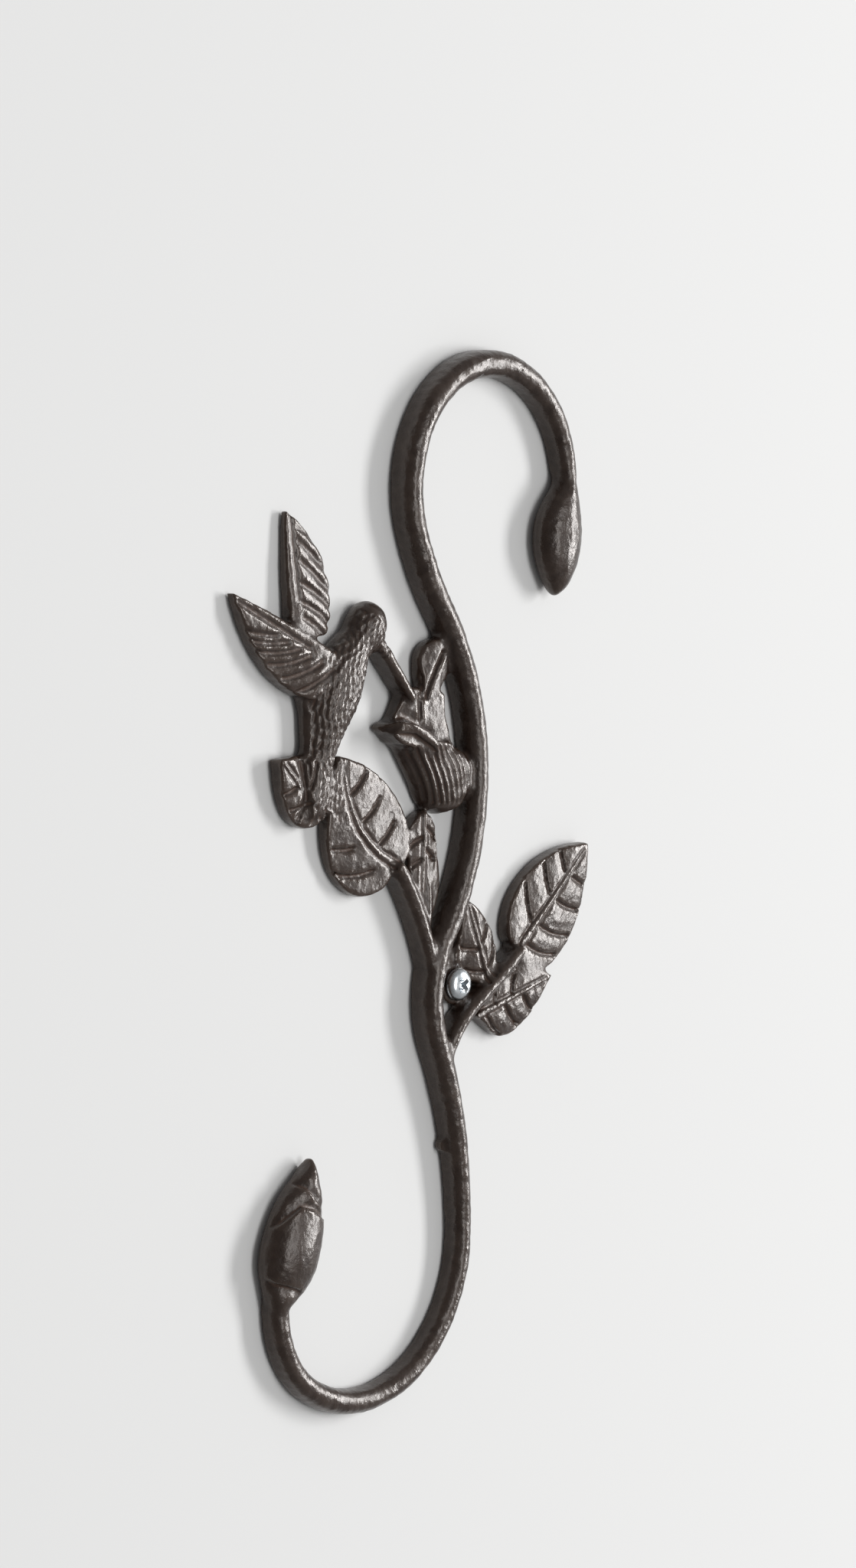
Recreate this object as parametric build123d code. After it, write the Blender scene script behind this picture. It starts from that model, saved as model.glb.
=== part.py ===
from build123d import *
from math import cos, radians, sin
import os

# Planter wall hook: an S-shaped bar cast in one piece with a hummingbird, a bell flower,
# leaves and two buds, held to the wall by one pan-head screw.
# The casting is drawn lying on its back: X right, Y up the wall, Z out of the wall.
# stand_up() then turns it so that +Z is up, the wall is the plane y = 0 and the front faces -Y.
# The origin is where the screw's axis meets the wall. Millimetres and degrees.

# Rounded forms are drawn in flats: so many over the front of a bar and round an oval
FRONT_FLATS = 6
OVAL_FLATS = 12

# S-shaped bar: flat back, straight flanks, rounded front; it thins towards both ends
BAR_WIDTH = 8.2
BAR_DEPTH = 8.2
UPPER_END_WIDTH = 7.0
UPPER_END_DEPTH = 7.2
LOWER_BAR_WIDTH = 7.2
LOWER_BAR_DEPTH = 6.6
STEM_START = (-10.3, -17.0)
STEM_HEADING = 114.3
STEM_BEND_RADIUS = 32.8
STEM_BEND_TURN = -59.4
STEM_BOW_RADIUS = 80.5
STEM_BOW_TURN = 71.2
NECK_RADIUS = 87.0
NECK_TURN = -17.6
UPPER_HOOK_RADIUS = 35.8
UPPER_HOOK_TURN = -94.2
UPPER_END_RADIUS = 36.4
UPPER_END_TURN = -98.0
LOWER_STEM_RADIUS = 133.0
LOWER_STEM_TURN = -24.9
LOWER_HOOK_RADIUS = 42.8
LOWER_HOOK_TURN = -122.4
LOWER_END_RADIUS = 29.9
LOWER_END_TURN = -62.0
STEM_NUB_DIAMETER = 4.0
STEM_NUB_DEPTH = 3.0

# Branches that leave the stem
LEFT_BRANCH_WIDTH = 5.6
LEFT_BRANCH_ANGLE = 27.0
LEFT_BRANCH_RADIUS = 95.0
LEFT_BRANCH_TURN = 23.0
RIGHT_BRANCH_WIDTH = 4.6
RIGHT_BRANCH_ANGLE = 46.0
RIGHT_BRANCH_RADIUS = 37.0
RIGHT_BRANCH_TURN = -36.0
RIGHT_TWIG_RADIUS = 200.0
RIGHT_TWIG_TURN = 7.0
BRANCH_DEPTH = 7.4

# Leaves: length, half widths to the left and right of the midrib, the share of the length
# where the base lobes stand, and the shares where the left and right veins start
BIG_LEFT_LEAF = (40.5, 20.5, 12.6, -0.06, (0.1, 0.3, 0.54), (0.14, 0.42))
SMALL_LEFT_LEAF = (25.5, 8.8, 11.0, 0.04, (0.3, 0.55), (0.4,))
MIDDLE_LEFT_LEAF = (32.0, 7.0, 7.0, 0.12, (0.16, 0.38, 0.6), (0.26, 0.5))
BIG_RIGHT_LEAF = (44.0, 13.5, 17.0, -0.03, (0.18, 0.44, 0.66), (0.04, 0.22, 0.46, 0.68))
LOW_RIGHT_LEAF = (36.5, 8.5, 11.0, 0.12, (0.22, 0.45), (0.1, 0.34, 0.58))
SMALL_RIGHT_LEAF = (29.0, 9.0, 8.0, 0.08, (0.14, 0.4), (0.17, 0.45))
HANGING_LEAF = (20.0, 7.5, 7.0, 0.1, (0.12, 0.42), (0.12, 0.42))
HANGING_LEAF_HEADING = 246.0

# Where the leaves of the branches stand: forward and to the left of the branch, and turned from it
BIG_LEFT_PLACE = (0.0, 0.0, -1.0)
SMALL_LEFT_PLACE = (30.5, 14.4, 9.0)
MIDDLE_LEFT_PLACE = (1.0, -3.0, -22.0)
BIG_RIGHT_PLACE = (0.0, 0.0, 4.0)
LOW_RIGHT_PLACE = (-2.0, -4.5, -16.0)
SMALL_RIGHT_PLACE = (8.0, 0.0, 83.0)

# Blade of a leaf
LEAF_EDGE = 3.3
LEAF_CROWN = 1.7
RIB_WIDTH = 2.4
RIB_RISE = 0.9
VEIN_WIDTH = 1.9
VEIN_CUT = 0.7

# Hummingbird; the sections of its skull and trunk are given by how far right and up of the middle
# of the head they stand, their heading, and their shares of the body's width and depth.
# The wing roots are measured from the middle of the head too.
BODY_DEPTH = 9.4
BODY_WIDTH = 20.0
SKULL_SECTIONS = [
    (5.0, 5.4, 227, 0.2, 0.4),
    (3.0, 3.4, 227, 0.6, 0.86),
    (-0.6, -0.5, 227, 0.74, 1.0),
    (-5.0, -5.4, 227, 0.5, 0.8),
]
TRUNK_SECTIONS = [
    (-3.5, -2.0, 230, 0.5, 0.7),
    (-7.5, -8.0, 234, 0.78, 0.92),
    (-12.5, -16.0, 241, 1.0, 1.0),
    (-16.0, -24.0, 250, 0.86, 0.92),
    (-18.5, -32.5, 256, 0.57, 0.74),
    (-20.2, -41.5, 258, 0.52, 0.64),
    (-22.8, -52.5, 256, 0.3, 0.5),
]
BEAK_LENGTH = 24.0
BEAK_ROOT = 4.1
BEAK_HEADING = -50.0
BEAK_WIDTH = 4.8
BEAK_TIP_WIDTH = 3.0
BEAK_DEPTH = 7.2
LEFT_WING_ROOT = (-12.4, -8.3)
LEFT_WING_HEADING = 154.5
LEFT_WING_SPAN = 46.5
LEFT_WING_CHORD = 16.0
RAISED_WING_ROOT = (-31.2, -2.2)
RAISED_WING_HEADING = 91.5
RAISED_WING_SPAN = 36.0
RAISED_WING_CHORD = 17.4
LEFT_WING_DEPTHS = (7.6, 3.6)
RAISED_WING_DEPTHS = (5.0, 2.8)
WING_CROWN = 1.0
WING_CROWN_SHARE = 0.4
FEATHER_COUNT = 6
FEATHER_WIDTH = 1.8
FEATHER_CUT = 0.8

# Bell flower
BELL_LEAN = 43.6
BELL_BASE_TURN = -20.0
MOUTH_TURN = -48.0
BELL_LENGTH = 16.3
BELL_BASE_WIDTH = 20.0
BELL_BASE_DEPTH = 8.8
CALYX_LENGTH = 3.6
CALYX_WIDTH = 12.0
CALYX_DEPTH = 6.4
BELL_THROAT_WIDTH = 24.0
BELL_THROAT_DEPTH = 8.9
LIP_WIDTH = 31.5
LIP_HEIGHT = 4.2
LIP_SHIFT = 4.4
LIP_DEPTH = 10.2
BELL_MIDDLE = 2.0
LIP_WALL = 2.0
MOUTH_DEPTH = 2.6
HOLLOW_DEPTH = 2.4
HOLLOW_WIDTH = 3.0
PETAL_DEPTH = 5.2
PETAL_REACH = 14.0
PLEAT_COUNT = 7
PLEAT_CUT = 1.1

# Buds
BUD_DEPTH = 10.4
UPPER_BUD_LENGTH = 37.0
UPPER_BUD_WIDTH = 19.8
UPPER_BUD_TURN = -9.0
LOWER_BUD_LENGTH = 41.0
LOWER_BUD_WIDTH = 23.0
LOWER_BUD_TURN = -15.0

# Screw and the lug that it passes through
LUG_DIAMETER = 12.0
LUG_DEPTH = 3.0
LUG_WEB_WIDTH = 16.0
LUG_WEB_HEIGHT = 10.0
LUG_WEB_MIDDLE = (-3.0, 6.0)
GATE_STUB_MIDDLE = (0.6, 8.0)
GATE_STUB_DIAMETER = 4.4
GATE_STUB_HEIGHT = 1.4
SCREW_DIAMETER = 4.8
SCREW_NECK_DIAMETER = 4.2
SCREW_HOLE_CLEARANCE = 0.8
HEAD_CLEARANCE = 0.6
SCREW_LENGTH = 38.0
SCREW_POINT_LENGTH = 7.0
SCREW_TIP_DIAMETER = 0.6
SCREW_HEAD_DIAMETER = 9.6
SCREW_HEAD_HEIGHT = 3.2
SCREW_HEAD_RIM = 1.2
SCREW_HEAD_FLAT = 6.6
CROSS_LENGTH = 5.2
CROSS_WIDTH = 1.3
CROSS_DEPTH = 1.8

# Every piece of the casting runs this far behind the wall plane before the back is cut flat.
BACK_SPARE = 1.5
BACK_CUT_SIZE = 600.0


def ahead(point, heading, distance, aside=0.0):
    """The point reached by going forward along a heading and then to the left."""
    x = point[0] + distance * cos(radians(heading)) - aside * sin(radians(heading))
    y = point[1] + distance * sin(radians(heading)) + aside * cos(radians(heading))
    return (x, y)


def bend_end(start, heading, radius, turn):
    """The point and heading at the end of an arc; a positive turn goes left."""
    side = radius if turn > 0 else -radius
    centre = ahead(start, heading, 0, side)
    return ahead(centre, heading + turn, 0, -side), heading + turn


def across(point, heading, height=0.0):
    """The upright plane across a heading, its X to the left and its Y out of the wall."""
    left = (-sin(radians(heading)), cos(radians(heading)), 0)
    forward = (cos(radians(heading)), sin(radians(heading)), 0)
    return Plane(origin=(point[0], point[1], height), x_dir=left, z_dir=forward)


def place(piece, point, heading):
    """A piece drawn along +X, put at a point and turned to a heading."""
    return Pos(point[0], point[1], 0) * Rot(0, 0, heading) * piece


def bar_section(width, depth):
    """Flat back, straight flanks and a front rounded in equal flats."""
    half = width / 2
    outline = [(-half, -BACK_SPARE), (half, -BACK_SPARE)]
    for step in range(FRONT_FLATS + 1):
        angle = radians(180 * step / FRONT_FLATS)
        outline.append((half * cos(angle), depth - half + half * sin(angle)))
    return make_face(Polyline(*outline, close=True))


def bar(start, heading, radius, turn, width, depth):
    """A bar of one section along an arc."""
    side = radius if turn > 0 else -radius
    centre = ahead(start, heading, 0, side)
    axis = Axis((centre[0], centre[1], 0), (0, 0, 1 if turn > 0 else -1))
    return revolve(across(start, heading) * bar_section(width, depth), axis, abs(turn))


def tapered_bar(start, heading, radius, turn, first, last, steps=4):
    """A bar along an arc whose (width, depth) changes evenly from first to last."""
    sections = []
    for step in range(steps + 1):
        share = step / steps
        point, direction = bend_end(start, heading, radius, turn * share)
        width = first[0] + (last[0] - first[0]) * share
        depth = first[1] + (last[1] - first[1]) * share
        sections.append(across(point, direction) * bar_section(width, depth))
    return loft(sections)


def oval(wide, deep):
    """An ellipse drawn in flats, from its half width and half depth."""
    corners = []
    for step in range(OVAL_FLATS):
        angle = radians(360 * step / OVAL_FLATS)
        corners.append((wide * cos(angle), deep * sin(angle)))
    return make_face(Polyline(*corners, close=True))


def swell(stations, middle):
    """A smooth solid through oval sections: (point, heading, half width, half depth)."""
    sections = []
    for point, heading, wide, deep in stations:
        sections.append(across(point, heading, middle) * oval(wide, deep))
    return loft(sections)


def ridge_between(low, high, outline):
    """A straight prism from one point to another, its outline (sideways, upwards)."""
    run = Vector(*high) - Vector(*low)
    sideways = Vector(0, 0, 1).cross(run)
    plane = Plane(origin=low, x_dir=sideways, z_dir=run)
    return extrude(plane * make_face(Polyline(*outline, close=True)), run.length)


def groove(low, high, width, cut):
    """The cutter of a V-shaped groove along a line on a surface, with walls that clear a crowned surface."""
    half = width / 2
    outline = [(0, -cut), (half, cut), (half, 4 * cut), (-half, 4 * cut), (-half, cut)]
    return ridge_between(low, high, outline)


def leaf(length, left_half, right_half, lobe, left_veins, right_veins):
    """A leaf along +X from its base: crowned blade, raised midrib and cut side veins."""
    sides = []
    for half in (left_half, -right_half):
        lobe_points = [(lobe * length, 0.42 * half), ((lobe + 0.12) * length, 0.82 * half)]
        edge = [(0.36 * length, half), (0.74 * length, 0.62 * half), (length, 0)]
        sides.append(Spline((0, 0), *lobe_points, *edge))
    half = max(left_half, right_half)
    crown_radius = (half * half + LEAF_CROWN * LEAF_CROWN) / (2 * LEAF_CROWN)
    top = LEAF_EDGE + LEAF_CROWN
    crown = Pos(length / 2, 0, top - crown_radius) * Rot(0, 90, 0) * Cylinder(crown_radius, 2 * length)
    blade = Pos(0, 0, -BACK_SPARE) * extrude(make_face(sides), top + BACK_SPARE) & crown
    cutters = []
    for side, reach, veins in ((1, left_half, left_veins), (-1, right_half, right_veins)):
        out = 1.1 * reach
        drop = out * out / (2 * crown_radius)
        for share in veins:
            low = (share * length, 0, top + drop / 8)
            high = (share * length + 0.7 * reach, side * out, top - 7 * drop / 8)
            cutters.append(groove(low, high, VEIN_WIDTH, VEIN_CUT))
    wide = RIB_WIDTH / 2
    rib = [(wide, -LEAF_CROWN), (wide / 2, RIB_RISE), (-wide / 2, RIB_RISE), (-wide, -LEAF_CROWN)]
    return blade - cutters + ridge_between((0, 0, top), (0.9 * length, 0, top), rib)


def leaf_on(point, heading, sizes, spot):
    """A leaf beside a branch that has a point and a heading there."""
    forward, left, turn = spot
    return place(leaf(*sizes), ahead(point, heading, forward, left), heading + turn)


def wing(span, chord, depths, side, strokes):
    """A wing along +X from its root: leading edge on the X axis, feathers towards one side."""
    root_depth, tip_depth = depths
    leading = ThreePointArc((0, 0), (0.55 * span, -0.05 * side * chord), (span, 0))
    root = (0, 0.82 * side * chord)
    edge = [(span, 0), (0.8 * span, 0.52 * side * chord), (0.56 * span, 0.88 * side * chord)]
    trailing = Spline(*edge, (0.26 * span, side * chord), root)
    outline = make_face([leading, trailing, Line(root, (0, 0))])
    crown_radius = (chord * chord / 4 + WING_CROWN * WING_CROWN) / (2 * WING_CROWN)
    fall = root_depth - tip_depth
    slope = Vector(span, 0, -fall)
    start = Vector(0, WING_CROWN_SHARE * side * chord, root_depth - crown_radius) - slope
    crown = extrude(Plane(origin=start, z_dir=slope) * Circle(crown_radius), 3 * span)
    blade = Pos(0, 0, -BACK_SPARE) * extrude(outline, root_depth + BACK_SPARE) & crown
    cutters = []
    for near, far in strokes:
        bulge = ((far[1] - near[1]) * chord) ** 2 / (8 * crown_radius)
        ends = []
        for along, aside in (near, far):
            drop = ((aside - WING_CROWN_SHARE) * chord) ** 2 / (2 * crown_radius)
            height = root_depth - fall * along - drop + 0.7 * bulge
            ends.append((along * span, aside * side * chord, height))
        cutters.append(groove(ends[0], ends[1], FEATHER_WIDTH, FEATHER_CUT))
    return blade - cutters


def hummingbird(beak_tip):
    """Body, head, beak and two wings, placed by the tip of the beak."""
    middle = 0.28 * BODY_DEPTH
    deep = BODY_DEPTH - middle
    head = ahead(beak_tip, BEAK_HEADING, -BEAK_LENGTH - BEAK_ROOT)
    lofts = []
    for form in (SKULL_SECTIONS, TRUNK_SECTIONS):
        stations = []
        for right, up, heading, wide, thick in form:
            point = (head[0] + right, head[1] + up)
            stations.append((point, heading, wide * BODY_WIDTH / 2, thick * deep))
        lofts.append(swell(stations, middle))
    beak = loft([
        across(head, BEAK_HEADING) * bar_section(BEAK_WIDTH, BEAK_DEPTH),
        across(beak_tip, BEAK_HEADING) * bar_section(BEAK_TIP_WIDTH, BEAK_DEPTH),
    ])
    spread = []
    raised = []
    for index in range(FEATHER_COUNT):
        spread.append(((0.58 - 0.1 * index, 0.28), (1.02 - 0.145 * index, 0.62 + 0.09 * index)))
        raised.append(((0.16 + 0.14 * index, 0.16), (0.14 * index - 0.12, 1.1)))
    left_root = (head[0] + LEFT_WING_ROOT[0], head[1] + LEFT_WING_ROOT[1])
    raised_root = (head[0] + RAISED_WING_ROOT[0], head[1] + RAISED_WING_ROOT[1])
    left_wing = wing(LEFT_WING_SPAN, LEFT_WING_CHORD, LEFT_WING_DEPTHS, 1, spread)
    raised_wing = wing(RAISED_WING_SPAN, RAISED_WING_CHORD, RAISED_WING_DEPTHS, -1, raised)
    return lofts + [
        beak,
        place(left_wing, left_root, LEFT_WING_HEADING),
        place(raised_wing, raised_root, RAISED_WING_HEADING),
    ]


def bell_section(point, heading, width, depth):
    """An elliptical section of the bell that stands out of the wall to a depth."""
    return across(point, heading, BELL_MIDDLE) * Ellipse(width / 2, depth - BELL_MIDDLE)


def bell_flower(base, heading):
    """A pleated bell with a flared, hollow mouth and petals behind it; also the spot the beak reaches."""
    base_heading = heading + BELL_BASE_TURN
    mouth_heading = heading + MOUTH_TURN
    throat = ahead(base, heading, BELL_LENGTH)
    lip = ahead(throat, mouth_heading, LIP_HEIGHT, LIP_SHIFT)
    ends = [
        (base, base_heading, BELL_BASE_WIDTH, BELL_BASE_DEPTH),
        (throat, mouth_heading, BELL_THROAT_WIDTH, BELL_THROAT_DEPTH),
    ]
    tube = loft([bell_section(*end) for end in ends], ruled=True)
    pleats = []
    for index in range(PLEAT_COUNT):
        angle = radians(25 + 130 * index / (PLEAT_COUNT - 1))
        line = []
        for point, turned, width, depth in ends:
            spot = ahead(point, turned, 0, cos(angle) * width / 2)
            line.append((spot[0], spot[1], BELL_MIDDLE + sin(angle) * (depth - BELL_MIDDLE)))
        pleats.append(groove(line[0], line[1], 2 * PLEAT_CUT, PLEAT_CUT))
    flare = loft([
        bell_section(*ends[1]),
        bell_section(lip, mouth_heading, LIP_WIDTH, LIP_DEPTH),
    ], ruled=True)
    share = MOUTH_DEPTH / LIP_HEIGHT
    floor = ahead(lip, mouth_heading, -MOUTH_DEPTH, -share * LIP_SHIFT)
    floor_width = LIP_WIDTH - share * (LIP_WIDTH - BELL_THROAT_WIDTH)
    floor_depth = LIP_DEPTH - share * (LIP_DEPTH - BELL_THROAT_DEPTH)
    mouth = loft([
        bell_section(lip, mouth_heading, LIP_WIDTH - 2 * LIP_WALL, LIP_DEPTH - LIP_WALL),
        bell_section(floor, mouth_heading, floor_width - 2 * LIP_WALL, floor_depth - LIP_WALL),
    ], ruled=True)
    calyx = loft([
        bell_section(ahead(base, base_heading, -CALYX_LENGTH), base_heading, CALYX_WIDTH, CALYX_DEPTH),
        bell_section(*ends[0]),
    ], ruled=True)
    half = LIP_WIDTH / 2
    crest = 0.58 * half
    outline = [
        Line((half, 0), (-half, 0)),
        ThreePointArc((-half, 0), (-0.68 * half, 0.5 * PETAL_REACH), (-crest, PETAL_REACH)),
        Line((-crest, PETAL_REACH), (crest, PETAL_REACH)),
        ThreePointArc((crest, PETAL_REACH), (0.68 * half, 0.5 * PETAL_REACH), (half, 0)),
    ]
    petals = Pos(0, 0, -BACK_SPARE) * extrude(make_face(outline), PETAL_DEPTH + BACK_SPARE)
    for split in (-0.32 * half, 0.12 * half):
        foot = (split, 0, PETAL_DEPTH)
        petals = petals - groove(foot, (split, PETAL_REACH, PETAL_DEPTH), VEIN_WIDTH, VEIN_CUT)
    hollow = Box(LIP_WIDTH, HOLLOW_WIDTH, 2 * (PETAL_DEPTH - HOLLOW_DEPTH))
    petals = petals - Pos(0, HOLLOW_WIDTH / 2, PETAL_DEPTH) * hollow
    petals = place(petals, lip, mouth_heading - 90)
    sip = ahead(lip, mouth_heading, 0.74 * PETAL_REACH, 0.37 * half)
    return [tube - pleats, flare - mouth, calyx, petals], sip


def tang(neck, heading, bud_heading, reach, width, depth):
    """The tapered end of a bar inside its bud."""
    inside = ahead(neck, bud_heading, reach)
    return loft([
        across(neck, heading) * bar_section(width, depth),
        across(inside, bud_heading) * bar_section(0.7 * width, depth),
    ])


def bud(neck, heading, length, width, depth, middle, form):
    """A bud along a heading; form holds shares: along, sideways, width, depth."""
    stations = []
    for along, aside, wide, thick in form:
        point = ahead(neck, heading, along * length, aside * width)
        stations.append((point, heading, wide * width / 2, thick * (depth - middle)))
    return swell(stations, middle)


def upper_bud(neck, heading):
    """The smooth closed bud that ends the upper hook."""
    form = [
        (-0.06, 0.0, 0.3, 0.42),
        (0.1, -0.04, 0.44, 0.7),
        (0.3, -0.14, 0.84, 0.9),
        (0.5, -0.17, 1.0, 0.97),
        (0.7, -0.17, 0.86, 0.88),
        (0.89, -0.16, 0.48, 0.6),
        (1.0, -0.2, 0.12, 0.2),
    ]
    turned = heading + UPPER_BUD_TURN
    middle = UPPER_END_DEPTH - UPPER_END_WIDTH / 2
    root = tang(neck, heading, turned, 0.3 * UPPER_BUD_LENGTH, UPPER_END_WIDTH, UPPER_END_DEPTH)
    return [bud(neck, turned, UPPER_BUD_LENGTH, UPPER_BUD_WIDTH, BUD_DEPTH, middle, form), root]


def lower_bud(neck, heading):
    """The petalled bud that ends the lower hook."""
    form = [
        (-0.06, 0.0, 0.3, 0.5),
        (0.06, 0.0, 0.62, 0.72),
        (0.2, 0.0, 0.92, 0.92),
        (0.38, 0.0, 1.0, 1.0),
        (0.58, 0.0, 0.9, 0.92),
        (0.82, 0.0, 0.48, 0.66),
        (1.0, 0.0, 0.1, 0.16),
    ]
    turned = heading + LOWER_BUD_TURN
    middle = LOWER_BAR_DEPTH - LOWER_BAR_WIDTH / 2
    root = tang(neck, heading, turned, 0.3 * LOWER_BUD_LENGTH, LOWER_BAR_WIDTH, LOWER_BAR_DEPTH)
    return [bud(neck, turned, LOWER_BUD_LENGTH, LOWER_BUD_WIDTH, BUD_DEPTH, middle, form), root]


def screw_lug():
    """The round lug behind the screw head, its web to the stem and the stub of the casting gate."""
    thick = LUG_DEPTH + BACK_SPARE
    middle = thick / 2 - BACK_SPARE
    disc = Pos(0, 0, middle) * Cylinder(LUG_DIAMETER / 2, thick)
    web = Pos(*LUG_WEB_MIDDLE, middle) * Box(LUG_WEB_WIDTH, LUG_WEB_HEIGHT, thick)
    stub = Pos(*GATE_STUB_MIDDLE, LUG_DEPTH) * Cylinder(GATE_STUB_DIAMETER / 2, 2 * GATE_STUB_HEIGHT)
    return [disc, web, stub]


def upper_bar():
    """The bar from the lug up over the upper hook, with the bud at its end and what grows from it."""
    full = (BAR_WIDTH, BAR_DEPTH)
    end_size = (UPPER_END_WIDTH, UPPER_END_DEPTH)
    bow, bow_heading = bend_end(STEM_START, STEM_HEADING, STEM_BEND_RADIUS, STEM_BEND_TURN)
    neck, neck_heading = bend_end(bow, bow_heading, STEM_BOW_RADIUS, STEM_BOW_TURN)
    hook, hook_heading = bend_end(neck, neck_heading, NECK_RADIUS, NECK_TURN)
    crest, crest_heading = bend_end(hook, hook_heading, UPPER_HOOK_RADIUS, UPPER_HOOK_TURN)
    tip = bend_end(crest, crest_heading, UPPER_END_RADIUS, UPPER_END_TURN)
    pieces = [
        bar(STEM_START, STEM_HEADING, STEM_BEND_RADIUS, STEM_BEND_TURN, *full),
        bar(bow, bow_heading, STEM_BOW_RADIUS, STEM_BOW_TURN, *full),
        bar(neck, neck_heading, NECK_RADIUS, NECK_TURN, *full),
        bar(hook, hook_heading, UPPER_HOOK_RADIUS, UPPER_HOOK_TURN, *full),
        tapered_bar(crest, crest_heading, UPPER_END_RADIUS, UPPER_END_TURN, full, end_size),
    ]
    flower_root, root_heading = bend_end(bow, bow_heading, STEM_BOW_RADIUS, 0.42 * STEM_BOW_TURN)
    bell_base = ahead(flower_root, root_heading, 0, BAR_WIDTH / 2 + 0.38 * BELL_BASE_WIDTH)
    flower, sip = bell_flower(bell_base, root_heading + BELL_LEAN)
    leaf_root, leaf_heading = bend_end(bow, bow_heading, STEM_BOW_RADIUS, 0.93 * STEM_BOW_TURN)
    leaf_base = ahead(leaf_root, leaf_heading, 0, 0.38 * BAR_WIDTH)
    hanging = place(leaf(*HANGING_LEAF), leaf_base, HANGING_LEAF_HEADING)
    return pieces + upper_bud(*tip) + flower + hummingbird(sip) + [hanging]


def lower_bar():
    """The bar from the lug down round the lower hook, with a nub on its flank and the bud at its end."""
    full = (BAR_WIDTH, BAR_DEPTH)
    thin = (LOWER_BAR_WIDTH, LOWER_BAR_DEPTH)
    below = STEM_HEADING + 180
    hook, hook_heading = bend_end(STEM_START, below, LOWER_STEM_RADIUS, LOWER_STEM_TURN)
    curl, curl_heading = bend_end(hook, hook_heading, LOWER_HOOK_RADIUS, LOWER_HOOK_TURN)
    tip = bend_end(curl, curl_heading, LOWER_END_RADIUS, LOWER_END_TURN)
    nub, nub_heading = bend_end(STEM_START, below, LOWER_STEM_RADIUS, 0.53 * LOWER_STEM_TURN)
    nub = ahead(nub, nub_heading, 0, -LOWER_BAR_WIDTH / 2)
    return [
        tapered_bar(STEM_START, below, LOWER_STEM_RADIUS, LOWER_STEM_TURN, full, thin),
        bar(hook, hook_heading, LOWER_HOOK_RADIUS, LOWER_HOOK_TURN, *thin),
        bar(curl, curl_heading, LOWER_END_RADIUS, LOWER_END_TURN, *thin),
        Pos(*nub, 0) * Cylinder(STEM_NUB_DIAMETER / 2, 2 * STEM_NUB_DEPTH),
    ] + lower_bud(*tip)


def left_branch():
    """The branch that forks to the left and carries three leaves."""
    root, heading = bend_end(STEM_START, STEM_HEADING, STEM_BEND_RADIUS, 0.62 * STEM_BEND_TURN)
    start = heading + LEFT_BRANCH_ANGLE
    end, end_heading = bend_end(root, start, LEFT_BRANCH_RADIUS, LEFT_BRANCH_TURN)
    fork, fork_heading = bend_end(root, start, LEFT_BRANCH_RADIUS, 0.36 * LEFT_BRANCH_TURN)
    return [
        bar(root, start, LEFT_BRANCH_RADIUS, LEFT_BRANCH_TURN, LEFT_BRANCH_WIDTH, BRANCH_DEPTH),
        leaf_on(end, end_heading, BIG_LEFT_LEAF, BIG_LEFT_PLACE),
        leaf_on(end, end_heading, SMALL_LEFT_LEAF, SMALL_LEFT_PLACE),
        leaf_on(fork, fork_heading, MIDDLE_LEFT_LEAF, MIDDLE_LEFT_PLACE),
    ]


def right_branch():
    """The branch that forks to the right, past the screw, and carries three leaves."""
    below = STEM_HEADING + 180
    root, heading = bend_end(STEM_START, below, LOWER_STEM_RADIUS, 0.1 * LOWER_STEM_TURN)
    start = heading - 180 - RIGHT_BRANCH_ANGLE
    twig, twig_heading = bend_end(root, start, RIGHT_BRANCH_RADIUS, RIGHT_BRANCH_TURN)
    end, end_heading = bend_end(twig, twig_heading, RIGHT_TWIG_RADIUS, RIGHT_TWIG_TURN)
    size = (RIGHT_BRANCH_WIDTH, BRANCH_DEPTH)
    return [
        bar(root, start, RIGHT_BRANCH_RADIUS, RIGHT_BRANCH_TURN, *size),
        bar(twig, twig_heading, RIGHT_TWIG_RADIUS, RIGHT_TWIG_TURN, *size),
        leaf_on(end, end_heading, BIG_RIGHT_LEAF, BIG_RIGHT_PLACE),
        leaf_on(twig, twig_heading, LOW_RIGHT_LEAF, LOW_RIGHT_PLACE),
        leaf_on(twig, twig_heading, SMALL_RIGHT_LEAF, SMALL_RIGHT_PLACE),
    ]


def hook_casting():
    """The whole casting, lying on its back, with the hole for the screw."""
    pieces = upper_bar() + lower_bar() + left_branch() + right_branch() + screw_lug()
    casting = pieces[0].fuse(*pieces[1:])
    cut_depth = 10 * BACK_SPARE
    behind = Pos(0, 0, -cut_depth / 2) * Box(BACK_CUT_SIZE, BACK_CUT_SIZE, cut_depth)
    hole = Cylinder((SCREW_DIAMETER + SCREW_HOLE_CLEARANCE) / 2, 4 * LUG_DEPTH)
    seat_radius = SCREW_HEAD_DIAMETER / 2 + HEAD_CLEARANCE
    seat = Pos(0, 0, LUG_DEPTH + SCREW_HEAD_HEIGHT) * Cylinder(seat_radius, 2 * SCREW_HEAD_HEIGHT)
    return casting - behind - hole - seat


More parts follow.
